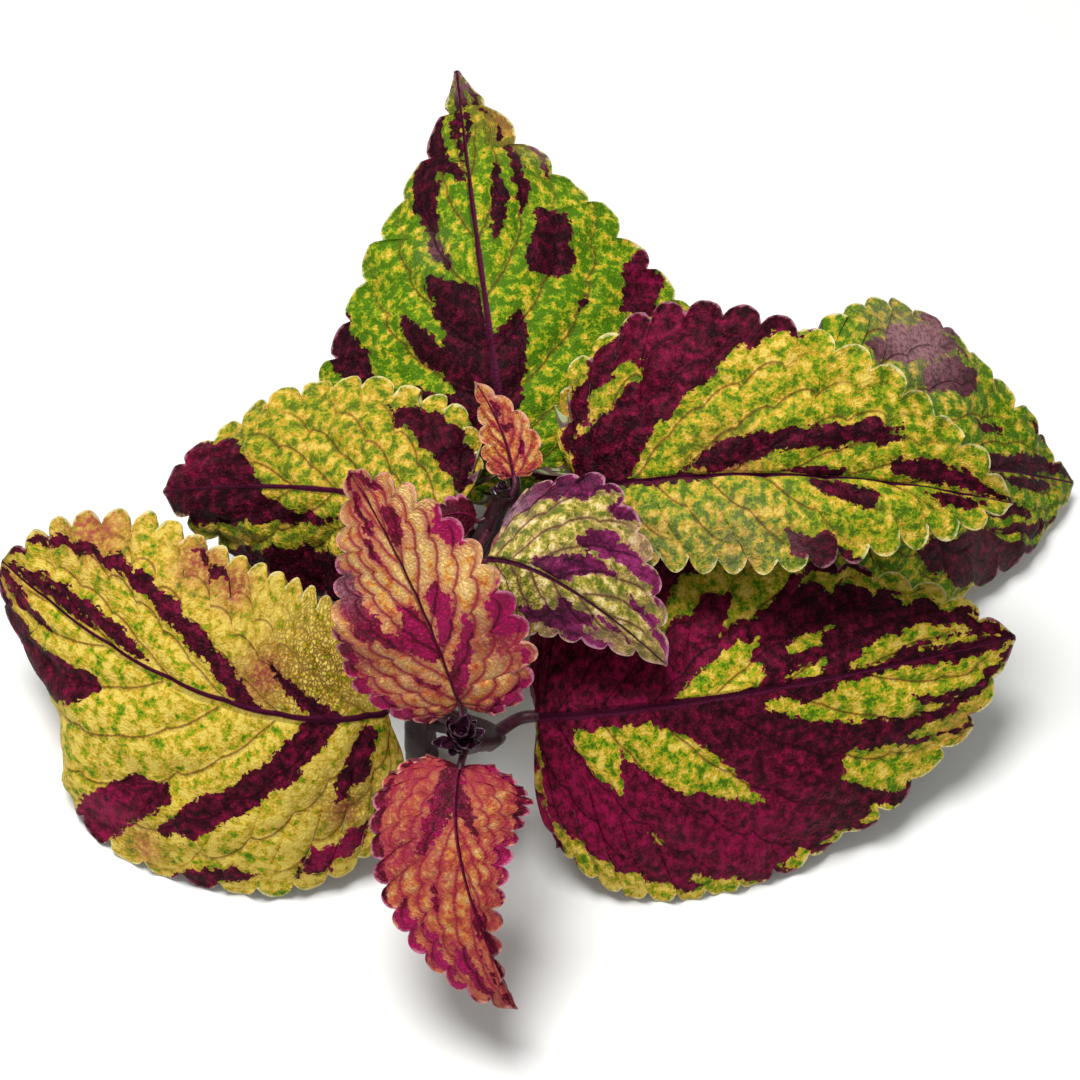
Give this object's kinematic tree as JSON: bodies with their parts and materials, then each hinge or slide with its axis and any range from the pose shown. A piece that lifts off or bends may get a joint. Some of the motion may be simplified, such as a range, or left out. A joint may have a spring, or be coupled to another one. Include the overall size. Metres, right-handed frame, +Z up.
{
  "type": "coleus cutting",
  "caption": "Leafy coleus cutting with mosaic leaves in green, yellow and maroon on dark square stems, standing on its cut stem and lowest leaves.",
  "frame": {"origin": "on the ground under the middle of the plant's outline", "axes": "+Z up, -Y towards the front where the side shoot leans out, +X to the right seen from the front"},
  "size_m": [0.2817, 0.2135, 0.1124],
  "materials": {
    "mosaic_leaf": "satin",
    "young_leaf": "satin",
    "stem": "satin",
    "shoot_tip": "satin"
  },
  "bodies": {
    "root": {"front_left_leaf": "mosaic_leaf", "front_right_leaf": "mosaic_leaf", "upper_left_leaf": "mosaic_leaf", "upper_right_leaf": "mosaic_leaf", "tall_back_leaf": "mosaic_leaf", "far_right_leaf": "mosaic_leaf", "far_left_leaf": "mosaic_leaf", "low_back_leaf": "mosaic_leaf", "rising_young_leaf": "young_leaf", "drooping_young_leaf": "young_leaf", "crown_right_leaf": "young_leaf", "crown_left_leaf": "young_leaf", "crown_back_leaf": "young_leaf", "main_stem": "stem", "front_shoot_stem": "stem", "main_shoot_tip": "shoot_tip", "front_shoot_tip": "shoot_tip"}
  },
  "joints": []
}
